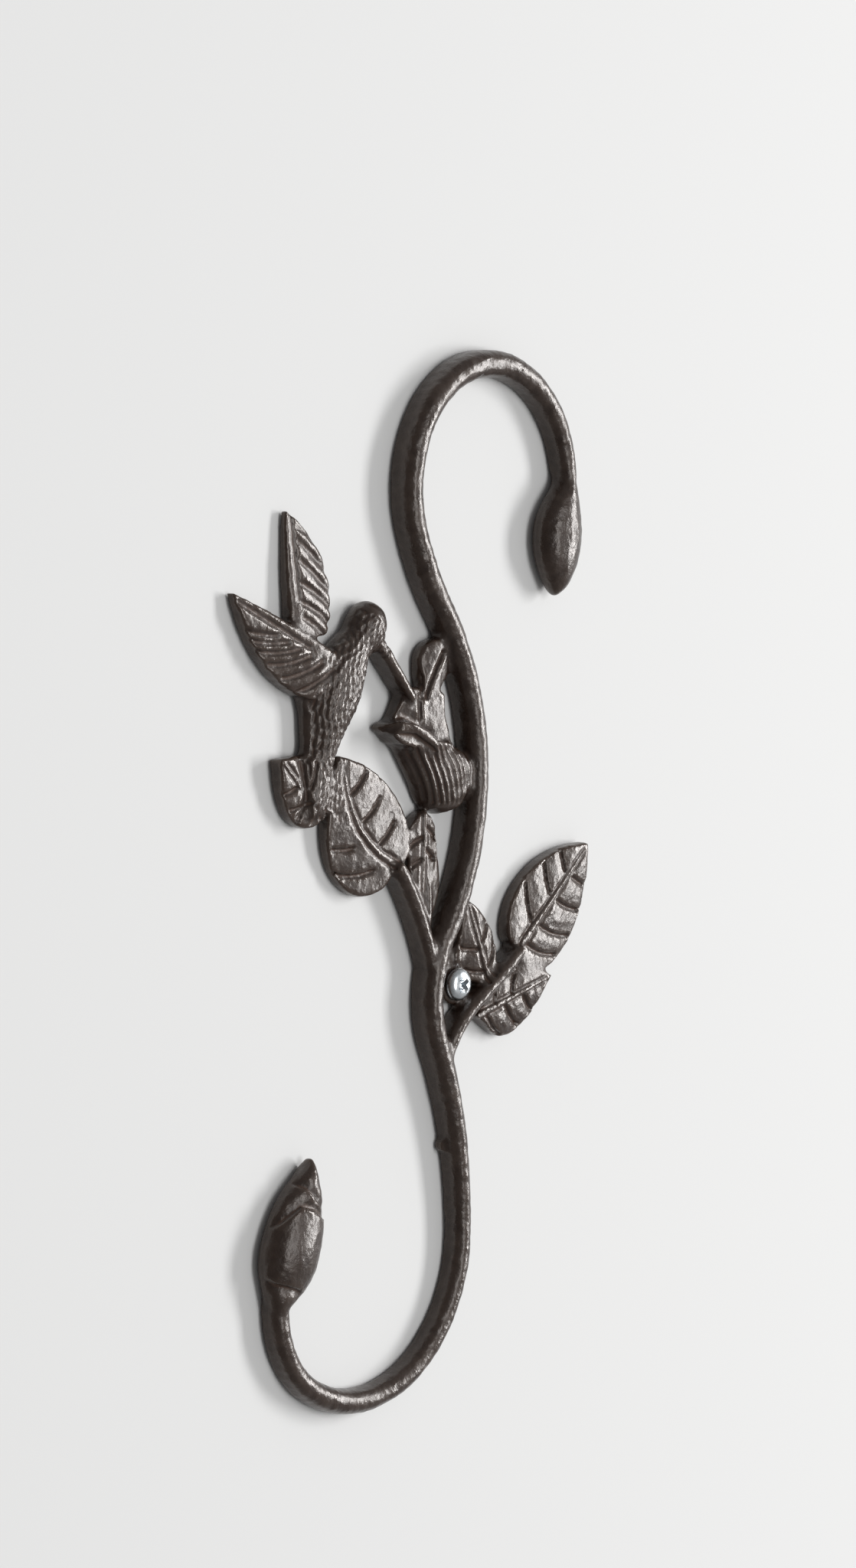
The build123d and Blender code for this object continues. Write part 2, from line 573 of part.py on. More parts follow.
def mounting_screw():
    """Pan-head wood screw with a cross recess: head on the lug, neck in it, thread behind it."""
    radius = SCREW_DIAMETER / 2
    neck = SCREW_NECK_DIAMETER / 2
    head = SCREW_HEAD_DIAMETER / 2
    top = LUG_DEPTH + SCREW_HEAD_HEIGHT
    point = LUG_DEPTH - SCREW_LENGTH
    rim = LUG_DEPTH + SCREW_HEAD_RIM
    shoulder = (0.9 * head, rim + 0.6 * (top - rim))
    edge = (SCREW_HEAD_FLAT / 2, top)
    thread = [(SCREW_TIP_DIAMETER / 2, point), (radius, point + SCREW_POINT_LENGTH), (radius, 0)]
    under_head = [(neck, 0), (neck, LUG_DEPTH), (head, LUG_DEPTH), (head, rim)]
    outline = Polyline((0, top), (0, point), *thread, *under_head, shoulder, edge, close=True)
    turned = revolve(Rot(90, 0, 0) * make_face(outline), Axis.Z)
    cross = Rectangle(CROSS_LENGTH, CROSS_WIDTH) + Rectangle(CROSS_WIDTH, CROSS_LENGTH)
    return turned - Pos(0, 0, top - CROSS_DEPTH) * extrude(cross, 2 * CROSS_DEPTH)


def stand_up(piece):
    """Turn a piece from lying on its back to hanging on the wall."""
    return Rot(90, 0, 0) * piece


os.makedirs("parts", exist_ok=True)
for name, piece in (("hook_casting", hook_casting()), ("mounting_screw", mounting_screw())):
    export_step(stand_up(piece), f"parts/{name}.step")
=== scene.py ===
from collections import namedtuple
from math import cos, pi, radians, sin

import bmesh
import bpy
import numpy as np
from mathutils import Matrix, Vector, noise


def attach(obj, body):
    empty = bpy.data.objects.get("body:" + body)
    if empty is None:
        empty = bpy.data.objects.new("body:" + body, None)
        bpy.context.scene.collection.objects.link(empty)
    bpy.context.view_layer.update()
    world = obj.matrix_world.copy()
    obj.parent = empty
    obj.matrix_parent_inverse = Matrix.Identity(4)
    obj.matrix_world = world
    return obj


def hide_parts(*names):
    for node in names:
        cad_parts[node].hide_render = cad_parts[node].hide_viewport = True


# Planter wall hook in cast iron: a hummingbird at a bell flower on an S-shaped bar.
# Metres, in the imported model's frame: +Z up the wall, +X right, the front towards -Y, the wall at y = 0.
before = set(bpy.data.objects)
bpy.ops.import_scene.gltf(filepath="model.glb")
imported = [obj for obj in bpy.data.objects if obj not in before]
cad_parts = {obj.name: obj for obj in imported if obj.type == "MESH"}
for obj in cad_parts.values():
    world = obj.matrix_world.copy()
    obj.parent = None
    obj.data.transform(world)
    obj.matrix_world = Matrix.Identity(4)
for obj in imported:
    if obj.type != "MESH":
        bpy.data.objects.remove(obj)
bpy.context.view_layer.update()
MM = 0.001

# Camera: where it stands, which way it looks, and the lens that frames the hook
CAMERA_PLACE = Vector((-0.9488, -0.7886, 0.1706))
CAMERA_LOOK = Vector((0.76289, 0.64014, -0.09063))
CAMERA_LENS = 97.98
SENSOR_WIDTH = 36.0

# Casting mesh: its grid, the steps that round its edges and inner corners, the share of faces that is kept
GRID = 0.56 * MM
SOFTEN_STEPS = 8
FILLET_STEPS = 24
FILLET_BLEND_STEPS = 3
FILLET_START = 0.06 * MM
KEPT_FACES = 0.68

# Casting surface: how uneven it is, how fast ornament and unevenness fade to the back, and its wear on high
# spots, which also carries a painted highlight
WAVE_SIZE = 8.0 * MM
WAVE_HEIGHT = 0.16 * MM
GRAIN_SIZE = 2.2 * MM
GRAIN_HEIGHT = 0.14 * MM
FRONT_FADE = 1.6
BACK_FADE = 3.0
WEAR_AND_HIGHLIGHT_STEPS = 8
WEAR_AND_HIGHLIGHT_HEIGHT = 0.2 * MM

# Veins on one side of a leaf: how steeply they climb, the shares of the half width where they start and
# end, and the shares of the leaf's length where they leave the midrib
Veins = namedtuple("Veins", "slope inner outer feet")
PLAIN = (0.62, 0.14, 0.86)

# Leaves: base, heading, length, half widths to the left and right, share of the length where the base
# lobes stand, share by which the midrib bows left, and the veins to the left and right
Leaf = namedtuple("Leaf", "base heading length halves lobe bow veins")
FORK_LEAF = Leaf(
    (-0.0153, 0.0515), 265.4, 0.0245, (0.0068, 0.0068), 0.04, 0.0,
    (Veins(*PLAIN, (0.16, 0.42)), Veins(*PLAIN, (0.28, 0.54))),
)
LEAVES = [
    FORK_LEAF,
    Leaf(
        (-0.02901, 0.03767), 126.5, 0.0405, (0.0205, 0.0126), -0.06, 0.15,
        (Veins(0.75, 0.4, 1.0, (-0.04, 0.22)), Veins(0.1, 0.15, 0.65, (0.22, 0.46, 0.7))),
    ),
    Leaf(
        (-0.05900, 0.05311), 136.5, 0.0255, (0.0088, 0.0110), 0.04, 0.0,
        (Veins(*PLAIN, (0.3, 0.55)), Veins(*PLAIN, (0.4,))),
    ),
    Leaf(
        (0.02773, 0.00804), 40.8, 0.0440, (0.0135, 0.0170), -0.03, 0.0,
        (Veins(*PLAIN, (0.18, 0.44, 0.66)), Veins(*PLAIN, (0.04, 0.22, 0.46, 0.68))),
    ),
    Leaf(
        (0.00782, -0.01027), 13.8, 0.0365, (0.0085, 0.0110), 0.12, 0.0,
        (Veins(*PLAIN, (0.22, 0.45)), Veins(*PLAIN, (0.1, 0.34, 0.58))),
    ),
    Leaf(
        (0.01426, -0.00140), 112.8, 0.0290, (0.0090, 0.0080), 0.08, 0.0,
        (Veins(*PLAIN, (0.14, 0.4)), Veins(*PLAIN, (0.17, 0.45))),
    ),
]
SMOOTH_LEAF = Leaf((-0.00685, 0.10164), 246.0, 0.0200, (0.0075, 0.0070), 0.1, 0.0, ())

# Leaf faces: half width along the leaf, depth of the edge and of the crown above it, what counts as face
LEAF_REACHES = (0, 0.42, 0.82, 1.0, 0.62, 0)
LEAF_EDGE = 3.3 * MM
LEAF_CROWN = 1.7 * MM
LEAF_FACE = (2.2 * MM, 6.4 * MM)
LEVEL_REACH = 1.2 * MM
LEVEL_TILT = 0.3

# Leaf ornament: veins, the hollows around them, and the midrib with a groove on each side
VEIN_WIDTH = 1.6 * MM
VEIN_DEPTH = 1.25 * MM
VEIN_BOW = 0.06
CUSHION_WIDTH = 6.5 * MM
CUSHION_DEPTH = 0.32 * MM
RIB_SHARE = 0.92
RIB_WIDTH = 1.8 * MM
RIB_CLEAR = 0.45 * MM
RIB_GROOVE_SIDE = 1.6 * MM
RIB_GROOVE_TAPER = 0.3
RIB_GROOVE_WIDTH = 1.4 * MM
RIB_GROOVE_DEPTH = 0.65 * MM

# Wings: root, heading, span, chord, side of the feathers, then in shares of span and chord where the
# grooves of the first and last feather start and end, how far they bow and stray, and how deep they are
Wing = namedtuple("Wing", "root heading span chord side starts ends bow stray depth")
WINGS = [
    Wing(
        (-0.05283, 0.09747), 154.5, 0.0465, 0.0160, 1,
        ((0.58, 0.28), (0.08, 0.28)), ((1.0, 0.58), (0.275, 0.98)), 0.05, 0.0, 0.75 * MM,
    ),
    Wing(
        (-0.07163, 0.10357), 91.5, 0.0360, 0.0174, -1,
        ((0.16, 0.24), (0.86, 0.24)), ((-0.1, 1.0), (0.6, 1.0)), -0.04, 0.03, 0.55 * MM,
    ),
]
FEATHER_COUNT = 6
FEATHER_WIDTH = 1.8 * MM
RIM_GROOVE = ((0.3, 0.17), (0.94, 0.102), 0.0)
WING_END = 1.02
WING_SIDES = (-0.1, 1.05)

# Plumage: the trunk's middle line from the head in millimetres, its half width and depth, the size of a
# feather, how far the rows and columns stray, and the grooves between them
HEAD = (-0.04043, 0.10577)
TRUNK = [(0.5, 2.0), (-12.5, -16.0), (-16.0, -24.0), (-18.5, -32.5), (-20.2, -41.5), (-22.8, -52.5)]
TRUNK_HALF = 10.5 * MM
TRUNK_FACE = 4.5 * MM
PLUME_LENGTH = 2.7 * MM
PLUME_WIDTH = 1.9 * MM
PLUME_DEPTH = 0.42 * MM
ROW_STRAY = 0.35
ROW_GROOVE = 0.55 * MM
ROW_SHARE = 0.6
COLUMN_STRAY = 0.3
COLUMN_WAVES = 1.3
COLUMN_GROOVE = 0.45 * MM

# Bell of the flower, in millimetres: rings up it, each with its middle to the right, height, half width
# and depth, then the two ends of its pleats, each with its middle to the right, height and half width
BELL_RINGS = [
    (-9.0, 52.0, 4.5, 5.0),
    (-7.6, 54.4, 8.7, 7.4),
    (-6.7, 59.2, 12.2, 9.0),
    (-7.9, 64.0, 13.5, 9.4),
    (-10.6, 68.0, 12.2, 8.8),
    (-11.5, 71.0, 9.0, 5.5),
]
BELL_STEPS = 48
BELL_SQUARENESS = 0.75
PLEAT_TOP = (-15.0, 70.6, 13.0)
PLEAT_FOOT = (-7.5, 54.0, 9.3)
PLEAT_COUNT = 11
PLEAT_EDGE = 20.0
PLEAT_STRAY = 3.0
PLEAT_BOW = 0.04
PLEAT_WIDTH = 1.3 * MM
PLEAT_DEPTH = 0.6 * MM

# Lip of the flower: its crest in millimetres to the right, up and out, and its width
LIP_CREST = [
    (-34.2, 75.9, 3.5),
    (-33.2, 77.0, 6.5),
    (-30.8, 77.5, 9.0),
    (-26.2, 77.0, 10.0),
    (-22.5, 75.4, 10.1),
    (-19.2, 73.6, 10.1),
    (-15.8, 70.8, 9.9),
    (-12.5, 67.5, 9.0),
]
LIP_WIDTH = 2.4 * MM

# Plates, in millimetres: rim and depth of two in the flower's throat, two in the bird's tail, one between
# the leaves on the right
FILL_PLATES = [
    ([(-29.0, 73.5), (-30.0, 78.0), (-7.0, 77.0), (-4.5, 71.5), (-10.0, 68.0)], 5.4),
    ([(-32.6, 75.0), (-31.0, 77.0), (-26.0, 76.5), (-15.0, 70.5), (-19.0, 69.5), (-29.5, 72.0)], 8.8),
    ([(-67.5, 88.0), (-66.2, 69.5), (-62.0, 69.5), (-62.0, 88.0)], 4.2),
    ([(-66.6, 70.5), (-66.2, 59.0), (-66.5, 54.0), (-64.8, 53.0), (-61.2, 58.8), (-58.0, 66.0),
      (-57.5, 70.5)], 6.3),
    ([(24.0, 6.0), (36.0, 5.5), (39.5, 2.5), (41.5, -1.0), (30.0, 0.5)], 4.3),
]

# Creases of the petals
PETAL_CREASES = [
    ((-0.0182, 0.0780), (-0.0186, 0.0850)),
    ((-0.0196, 0.0954), (-0.0171, 0.0903), (-0.0171, 0.0849)),
    ((-0.0077, 0.0970), (-0.0111, 0.0922), (-0.0154, 0.0848)),
]

# Ledges where one form overlaps another: their path, and how far they slope to the left and right
WIDE_SLOPE = 4.0 * MM
STEEP_SLOPE = 0.8 * MM
LEDGE_DEPTH = 1.0 * MM
LEDGES = [
    (((-0.0848, -0.0615), (-0.0790, -0.0573), (-0.0733, -0.0540)), WIDE_SLOPE, STEEP_SLOPE),
    (((-0.0733, -0.0540), (-0.0680, -0.0558), (-0.0633, -0.0590)), WIDE_SLOPE, STEEP_SLOPE),
    (((-0.0771, -0.0458), (-0.0700, -0.0495), (-0.0633, -0.0568)), WIDE_SLOPE, STEEP_SLOPE),
    (((-0.0870, -0.0714), (-0.0830, -0.0751), (-0.0739, -0.0781)), STEEP_SLOPE, WIDE_SLOPE),
    (((-0.0576, 0.0658), (-0.0609, 0.0588), (-0.0647, 0.0531)), WIDE_SLOPE, STEEP_SLOPE),
    (((-0.0682, 0.0702), (-0.0668, 0.0589), (-0.0690, 0.0539)), STEEP_SLOPE, WIDE_SLOPE),
    (((-0.0330, 0.0747), (-0.0310, 0.0752), (-0.0258, 0.0746), (-0.0170, 0.0700)), STEEP_SLOPE, WIDE_SLOPE),
    (((-0.0320, 0.0797), (-0.0260, 0.0797), (-0.0210, 0.0778), (-0.0155, 0.0737)), WIDE_SLOPE, STEEP_SLOPE),
]

# Rounded forms that are worked smooth: middle, radius
SMOOTH_STEPS = 60
SMOOTH_FADE = 4.0 * MM
SMOOTH_FORMS = [
    ((0.0480, 0.1270), 0.0220),
    ((-0.0765, -0.0620), 0.0190),
    (HEAD, 0.0100),
    ((-0.0650, 0.0780), 0.0085),
]

# Screw, in step with the CAD solid: its shank and thread, then its domed head with a cross recess
SCREW_SIDES = 40
SHANK_STEPS = 150
SCREW_POINT = 35.0 * MM
POINT_LENGTH = 7.0 * MM
TIP_RADIUS = 0.25 * MM
THREAD_RADIUS = 2.4 * MM
THREAD_ROOT = 1.75 * MM
THREAD_PITCH = 2.1 * MM
THREAD_SHARPNESS = 3.2
NECK_RADIUS = 2.1 * MM
NECK_START = -0.05 * MM
HEAD_TOP = 6.2 * MM
HEAD_BASE = 3.0 * MM
HEAD_RADIUS = 4.8 * MM
HEAD_EDGE = 0.3 * MM
HEAD_STEPS = 12
HEAD_ROLL = (-20.0, 90.0)
HEAD_MIDDLE = 0.32
HEAD_SQUARENESS = 0.62
HEAD_TIP = 0.02
CROSS_LENGTH = 5.2 * MM
CROSS_WIDTH = 1.8 * MM
CROSS_DEPTH = 2.0 * MM
CROSS_SPARE = 1.0 * MM
CROSS_FOOT = (0.35, 0.6)
CROSS_MOUTH = (1.25, 1.1)
SCREW_TURN = 38.0
SHARP_ANGLE = 35.0

# Iron: noise scales, tones from the grooves to the worn crests (lighter there as a painted highlight), and
# what makes it rough or glossy
IRON_CLOUD = 170.0
IRON_GRAIN = 750.0
GRAIN_DETAIL = 5.0
IRON_TONES = [
    (0.15, (0.048, 0.0225, 0.0125)),
    (0.44, (0.017, 0.008, 0.005)),
    (0.8, (0.05, 0.033, 0.025)),
]
# How much worn crests lighten the colour: real wear together with a painted highlight on the edges
WEAR_AND_HIGHLIGHT_TONE = 0.75
CLOUD_TONES = (-0.12, 0.38)
WEAR_ROUGHNESS = (0.48, 0.04)
CLOUD_ROUGHNESS = 0.34
GRAIN_ROUGHNESS = -0.1
IRON_SPECULAR = 0.5
IRON_TINT = (1.0, 0.91, 0.85, 1.0)
COAT_WEIGHT = 0.3
COAT_ROUGHNESS = 0.2
BUMP_STRENGTH = 0.45
BUMP_DISTANCE = 0.4 * MM

# Zinc: noise scale, tones and roughness
ZINC_CLOUD = 600.0
ZINC_TONES = [(0.3, (0.56, 0.6, 0.63)), (0.7, (0.78, 0.81, 0.84))]
ZINC_ROUGHNESS = (0.2, 0.34)

# Stage: the wall, and the lamps with their name, place, width, height and watts
WALL_SIZE = 3.0
WALL_GAP = 0.3 * MM
WALL_COLOUR = (0.82, 0.82, 0.815, 1.0)
WALL_ROUGHNESS = 0.9
WALL_SPECULAR = 0.1
LAMPS = [
    ("window", (2.9, -1.9, 0.25), 0.6, 2.0, 92.0),
    ("sky", (0.15, -2.9, 0.2), 0.9, 2.2, 31.0),
]

# Room: strength of its light from the left side to the right side
ROOM_LIGHT = (0.14, 0.42)
WHITE = (1.0, 1.0, 1.0, 1.0)


def new_object(name, mesh):
    piece = bpy.data.objects.new(name, mesh)
    bpy.context.scene.collection.objects.link(piece)
    return piece


def new_mesh(name, shape):
    mesh = bpy.data.meshes.new(name)
    shape.to_mesh(mesh)
    shape.free()
    return mesh


def apply_modifiers(piece):
    """Put a mesh with the modifiers applied in the place of the piece's own."""
    view = bpy.context.evaluated_depsgraph_get()
    mesh = bpy.data.meshes.new_from_object(piece.evaluated_get(view))
    piece.modifiers.clear()
    old = piece.data
    piece.data = mesh
    bpy.data.meshes.remove(old)


def shade_smooth(mesh):
    for face in mesh.polygons:
        face.use_smooth = True


def read_points(mesh):
    flat = np.empty(3 * len(mesh.vertices))
    mesh.vertices.foreach_get("co", flat)
    return flat.reshape(-1, 3)


def write_points(mesh, points):
    mesh.vertices.foreach_set("co", points.ravel())
    mesh.update()


def read_normals(mesh):
    flat = np.empty(3 * len(mesh.vertices))
    mesh.vertex_normals.foreach_get("vector", flat)
    return flat.reshape(-1, 3)


def read_edges(mesh):
    flat = np.empty(2 * len(mesh.edges), dtype=int)
    mesh.edges.foreach_get("vertices", flat)
    return flat.reshape(-1, 2)


def neighbour_mean(values, edges):
    """For each vertex, the mean of a value over the vertices joined to it."""
    here = np.concatenate((edges[:, 0], edges[:, 1]))
    there = np.concatenate((edges[:, 1], edges[:, 0]))
    count = np.maximum(np.bincount(here, minlength=len(values)), 1)
    sums = []
    for column in values.reshape(len(values), -1).T:
        sums.append(np.bincount(here, weights=column[there], minlength=len(values)) / count)
    return np.array(sums).T.reshape(values.shape)


def softened(values, edges, steps):
    """Values drawn halfway towards their neighbours' mean in each step."""
    for step in range(steps):
        values = 0.5 * values + 0.5 * neighbour_mean(values, edges)
    return values


def relaxed(points, edges, steps, weight):
    """Points drawn towards their neighbours as softened does, each by its own weight from 0 to 1."""
    for step in range(steps):
        points = points + 0.5 * weight * (neighbour_mean(points, edges) - points)
    return points


def noise_at(points, size):
    return np.array([noise.noise(Vector(point)) for point in points / size])


def skin(shape, rows):
    """Close a form over rings of points: walls between the rings and a cap at each end."""
    rings = [[shape.verts.new(point) for point in row] for row in rows]
    faces = [shape.faces.new(rings[0]), shape.faces.new(rings[-1])]
    for low, high in zip(rings, rings[1:]):
        for index in range(len(low)):
            other = (index + 1) % len(low)
            faces.append(shape.faces.new((low[index], low[other], high[other], high[index])))
    bmesh.ops.recalc_face_normals(shape, faces=faces)


def add_bell(shape):
    """The bell of the flower as a closed form with a flat back."""
    rows = []
    for right, up, half, depth in BELL_RINGS:
        row = []
        for step in range(BELL_STEPS + 1):
            angle = pi * step / BELL_STEPS
            out = depth * max(sin(angle), 0.0) ** BELL_SQUARENESS
            row.append(Vector((right + half * cos(angle), -out, up)) * MM)
        rows.append(row)
    skin(shape, rows)


def add_plate(shape, spots, depth):
    """A closed plate with a flat back, from the plan points of its rim."""
    back = [(right, 0, up) for right, up in spots]
    front = [(right, -depth, up) for right, up in spots]
    skin(shape, [back, front])


def add_lip(shape):
    """The lip of the bell as a ridge that stands out to its crest."""
    crest = np.array(LIP_CREST) * MM
    runs = np.gradient(crest[:, :2], axis=0)
    lefts = np.stack((-runs[:, 1], runs[:, 0]), axis=1)
    lefts *= LIP_WIDTH / 2 / np.linalg.norm(lefts, axis=1)[:, None]
    rows = []
    for (right, up, depth), left in zip(crest, lefts):
        corners = ((1, 0), (-1, 0), (-1, -depth), (1, -depth))
        rows.append([(right + side * left[0], y, up + side * left[1]) for side, y in corners])
    skin(shape, rows)


def add_leaf(shape, leaf):
    """A leaf as a closed plate with a flat back."""
    lines = []
    for side, half in zip((1, -1), leaf.halves):
        line = []
        for share, reach in zip(leaf_shares(leaf.lobe), LEAF_REACHES):
            line.append(turned(leaf.base, leaf.heading, share * leaf.length, side * reach * half))
        lines.append(line)
    left, right = lines
    add_plate(shape, left[:-1] + right[:0:-1], LEAF_EDGE + LEAF_CROWN)


def cast_mesh(node):
    """The node's solid with the bell, its lip, the plates and the fork leaf as one fine mesh, edges soft."""
    shape = bmesh.new()
    shape.from_mesh(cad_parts[node].data)
    add_bell(shape)
    add_lip(shape)
    for rim, depth in FILL_PLATES:
        add_plate(shape, np.array(rim) * MM, depth * MM)
    add_leaf(shape, FORK_LEAF)
    piece = new_object("hook_iron", new_mesh("hook_iron", shape))
    remesh = piece.modifiers.new("even grid", "REMESH")
    remesh.mode = "VOXEL"
    remesh.voxel_size = GRID
    apply_modifiers(piece)
    mesh = piece.data
    edges = read_edges(mesh)
    points = level_leaves(read_points(mesh), read_normals(mesh))
    points = softened(points, edges, SOFTEN_STEPS)
    write_points(mesh, points)
    height = np.einsum("ij,ij->i", points - softened(points, edges, SOFTEN_STEPS), read_normals(mesh))
    inner = softened(np.clip(-height / FILLET_START, 0, 1), edges, FILLET_BLEND_STEPS)
    points = relaxed(points, edges, FILLET_STEPS, inner[:, None])
    rounded = np.zeros(len(points))
    for middle, radius in SMOOTH_FORMS:
        distance = np.linalg.norm(points[:, [0, 2]] - np.array(middle), axis=1)
        rounded = np.maximum(rounded, np.clip((radius - distance) / SMOOTH_FADE, 0, 1))
    points = relaxed(points, edges, SMOOTH_STEPS, rounded[:, None])
    points[:, 1] = np.minimum(points[:, 1], 0.0)
    write_points(mesh, points)
    return piece, edges


def axes(heading):
    """The plan direction of a heading, and the direction to its left."""
    ahead = np.array((cos(radians(heading)), sin(radians(heading))))
    return ahead, np.array((-ahead[1], ahead[0]))


def turned(point, heading, along, aside):
    """The plan point reached from a point by going along a heading and then to its left."""
    ahead, left = axes(heading)
    return np.array(point) + ahead * along + left * aside


def own_place(plan, point, heading):
    """Plan points as seen from a point: along a heading and to its left."""
    ahead, left = axes(heading)
    return (plan - point) @ ahead, (plan - point) @ left


def between(ends, share):
    """The point at a share of the way from the first of two points to the second."""
    first, second = np.array(ends)
    return first + (second - first) * share


def bowed(start, end, bow=0.0, steps=7):
    """A path from one plan point to another that bows to the left by a share of its length."""
    start, end = np.array(start), np.array(end)
    left = np.array((start[1] - end[1], end[0] - start[0]))
    shares = np.linspace(0, 1, steps)[:, None]
    return start + (end - start) * shares + left * bow * 4 * shares * (1 - shares)


def along_path(plan, path):
    """For each plan point its distance from a path, its side (1 left, -1 right) and the length passed."""
    path = np.array(path)
    nearest = np.full(len(plan), np.inf)
    side = np.zeros(len(plan))
    passed = np.zeros(len(plan))
    done = 0.0
    for start, end in zip(path, path[1:]):
        run = end - start
        length = np.linalg.norm(run)
        share = np.clip((plan - start) @ run / length ** 2, 0, 1)
        offset = plan - start - share[:, None] * run
        distance = np.linalg.norm(offset, axis=1)
        closer = distance < nearest
        nearest = np.where(closer, distance, nearest)
        side = np.where(closer, np.sign(run[0] * offset[:, 1] - run[1] * offset[:, 0]), side)
        passed = np.where(closer, done + share * length, passed)
        done += length
    return nearest, side, passed


def ledge(plan, path, left_slope, right_slope, depth):
    """The depth of a soft cut along a path, at each plan point, with its own slope on each side."""
    distance, side = along_path(plan, path)[:2]
    slope = np.where(side > 0, left_slope, right_slope)
    return depth * np.exp(-(2 * distance / slope) ** 2)


def groove(plan, path, width, depth):
    """The depth of a soft groove along a path, at each plan point."""
    return ledge(plan, path, width, width, depth)


def leaf_shares(lobe):
    """Shares of a leaf's length where its half width is each of LEAF_REACHES of the most."""
    return min(lobe, 0) - 0.02, lobe, lobe + 0.12, 0.36, 0.74, 1.0


def leaf_place(plan, leaf):
    """How far plan points lie to the left of a leaf's middle, and whether they lie within its outline."""
    along, aside = own_place(plan, leaf.base, leaf.heading)
    half = np.where(aside > 0, *leaf.halves)
    outline = half * np.interp(along / leaf.length, leaf_shares(leaf.lobe), LEAF_REACHES)
    return aside, abs(aside) < outline


def level_leaves(points, normals):
    """Bring the faces of the leaves to their plain crown, ready for the veins."""
    plan = points[:, [0, 2]]
    for leaf in LEAVES + [SMOOTH_LEAF]:
        aside, inside = leaf_place(plan, leaf)
        half = max(leaf.halves)
        radius = (half ** 2 + LEAF_CROWN ** 2) / (2 * LEAF_CROWN)
        face = LEAF_EDGE + LEAF_CROWN - aside ** 2 / (2 * radius)
        inside &= (abs(-points[:, 1] - face) < LEVEL_REACH) & (normals[:, 1] < -LEVEL_TILT)
        points[inside, 1] = -face[inside]
    return points


def leaf_cut(plan, depth, leaf):
    """Veins, the hollows around them and the grooves beside the midrib of one leaf."""
    inside = leaf_place(plan, leaf)[1] & (depth > LEAF_FACE[0]) & (depth < LEAF_FACE[1])
    spots = plan[inside]
    cut = np.zeros(len(spots))
    rib = bowed(leaf.base, turned(leaf.base, leaf.heading, RIB_SHARE * leaf.length, 0), leaf.bow)
    taper = np.linspace(RIB_GROOVE_SIDE, RIB_GROOVE_TAPER * RIB_GROOVE_SIDE, len(rib))[:, None]
    left = axes(leaf.heading)[1]
    for side, reach, veins in zip((1, -1), leaf.halves, leaf.veins):
        for foot in veins.feet:
            middle = 4 * leaf.bow * leaf.length * max(foot * (1 - foot), 0)
            ends = []
            for share in (veins.inner, veins.outer):
                out = middle + (side * reach - middle) * share
                climb = veins.slope * share * reach
                ends.append(turned(leaf.base, leaf.heading, foot * leaf.length + climb, out))
            vein = bowed(*ends, VEIN_BOW * side)
            cut = np.maximum(cut, groove(spots, vein, VEIN_WIDTH, VEIN_DEPTH))
            cut = np.maximum(cut, groove(spots, vein, CUSHION_WIDTH, CUSHION_DEPTH))
        beside = rib + side * left * taper
        cut = np.maximum(cut, groove(spots, beside, RIB_GROOVE_WIDTH, RIB_GROOVE_DEPTH))
    whole = np.zeros(len(plan))
    whole[inside] = cut - groove(spots, rib, RIB_WIDTH, RIB_CLEAR)
    return whole


def wing_cut(plan, wing):
    """Feather grooves of a wing and the groove behind its rim."""
    along, aside = own_place(plan, wing.root, wing.heading)
    out = wing.side * aside / wing.chord
    inside = (along > 0) & (along < WING_END * wing.span) & (out > WING_SIDES[0]) & (out < WING_SIDES[1])
    spots = plan[inside]
    strokes = [RIM_GROOVE]
    for index, share in enumerate(np.linspace(0, 1, FEATHER_COUNT)):
        stray = wing.stray * sin(5 * index)
        start = between(wing.starts, share) + (stray, 0)
        strokes.append((start, between(wing.ends, share), wing.bow + stray))
    cut = np.zeros(len(spots))
    for start, end, bow in strokes:
        ends = []
        for span_share, chord_share in (start, end):
            across = wing.side * chord_share * wing.chord
            ends.append(turned(wing.root, wing.heading, span_share * wing.span, across))
        cut = np.maximum(cut, groove(spots, bowed(*ends, wing.side * bow), FEATHER_WIDTH, wing.depth))
    whole = np.zeros(len(plan))
    whole[inside] = cut
    return whole


def plumage_cut(plan, depth):
    """Short overlapping feathers in rows down the trunk."""
    distance, side, down = along_path(plan, np.array(HEAD) + np.array(TRUNK) * MM)
    across = side * distance
    inside = (distance < TRUNK_HALF) & (down > 0) & (down < down.max()) & (depth > TRUNK_FACE)
    down = down + ROW_STRAY * PLUME_LENGTH * np.sin(across / PLUME_WIDTH)
    across = across + COLUMN_STRAY * PLUME_WIDTH * np.sin(COLUMN_WAVES * down / PLUME_LENGTH)
    row = np.floor(down / PLUME_LENGTH)
    fall = down / PLUME_LENGTH - row
    column = (across / PLUME_WIDTH + 0.5 * (row % 2)) % 1
    edge = np.exp(-(np.minimum(fall, 1 - fall) * PLUME_LENGTH / ROW_GROOVE) ** 2)
    gap = np.exp(-(np.minimum(column, 1 - column) * PLUME_WIDTH / COLUMN_GROOVE) ** 2)
    return PLUME_DEPTH * np.maximum(ROW_SHARE * edge, gap) * inside


def bell_cut(plan):
    """Pleats up the bell, a little uneven."""
    cut = np.zeros(len(plan))
    for index in range(PLEAT_COUNT):
        turn = PLEAT_EDGE + (180 - 2 * PLEAT_EDGE) * index / (PLEAT_COUNT - 1) + PLEAT_STRAY * sin(7 * index)
        ends = []
        for right, up, half in (PLEAT_TOP, PLEAT_FOOT):
            ends.append(((right - half * cos(radians(turn))) * MM, up * MM))
        cut = np.maximum(cut, groove(plan, bowed(*ends, PLEAT_BOW), PLEAT_WIDTH, PLEAT_DEPTH))
    return cut


